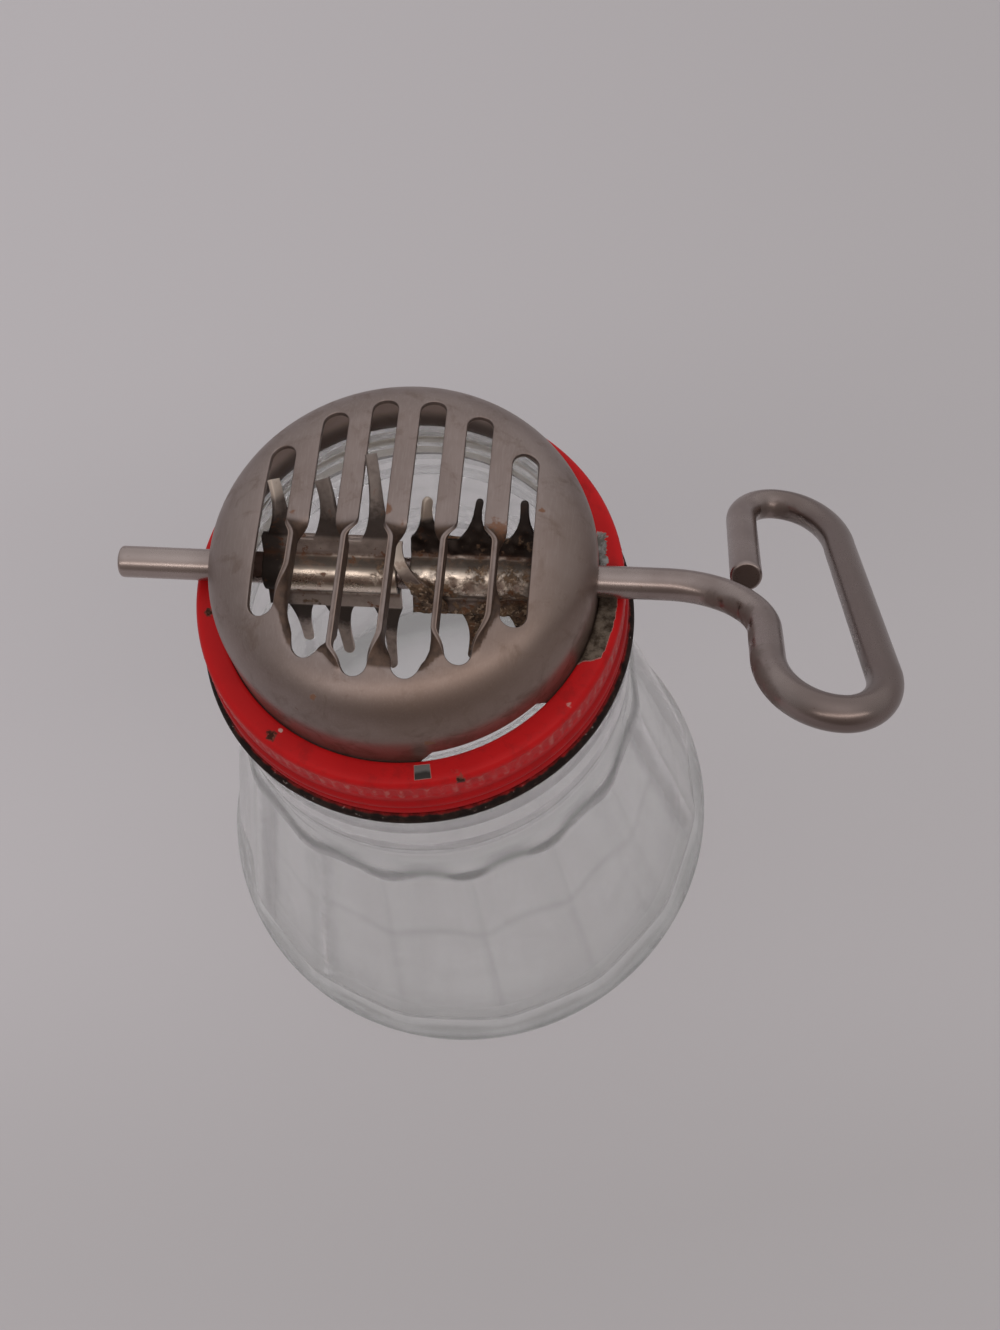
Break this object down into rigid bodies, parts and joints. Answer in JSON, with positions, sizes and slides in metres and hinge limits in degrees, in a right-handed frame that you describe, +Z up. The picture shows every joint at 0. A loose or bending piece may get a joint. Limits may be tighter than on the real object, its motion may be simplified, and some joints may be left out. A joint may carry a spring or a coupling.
{
  "type": "nut chopper",
  "caption": "Hand-cranked nut chopper: a paneled glass jar under a screw lid that holds a slotted steel dome, whose crank shaft turns toothed blades through the slots.",
  "frame": {"origin": "centre of the jar's flat underside, on the jar's axis", "axes": "+Z up along the jar's axis, +X along the crank shaft towards the crank loop, +Y towards the far side of the dome, where its bars lie flat"},
  "size_m": [0.1189, 0.0998, 0.1368],
  "materials": {
    "jar_glass": "clear, faintly green, with soft moulded panels",
    "lid_paint": "glossy red paint, chipped and worn to grey metal in places",
    "dome_steel": "dull satin steel with a warm brown stain",
    "crank_steel": "dull satin wire with rust inside its bends",
    "blade_steel": "stained steel with rust and dried crust"
  },
  "bodies": {
    "jar": {"glass_jar": "jar_glass"},
    "dome": {"slotted_dome": "dome_steel"},
    "lid": {"screw_lid": "lid_paint"},
    "crank": {"crank_wire": "crank_steel", "left_upper_blade": "blade_steel", "left_lower_blade": "blade_steel", "right_upper_blade": "blade_steel", "right_lower_blade": "blade_steel"}
  },
  "joints": [
    {"name": "head_lift", "type": "slide", "parent": "jar", "child": "dome", "axis": [0, 0, 1], "range_m": [0, 0.0042]},
    {"name": "lid_turn", "type": "hinge", "parent": "dome", "child": "lid", "pos_m": [0, 0, 0.11], "axis": [0, 0, 1], "range_deg": [0, 360]},
    {"name": "crank_turn", "type": "hinge", "parent": "dome", "child": "crank", "pos_m": [0, 0, 0.11278], "axis": [1, 0, 0], "continuous": true}
  ],
  "couplings": [
    {"joint": "head_lift", "follows": "lid_turn", "m_per_rad": 0.00066845}
  ]
}
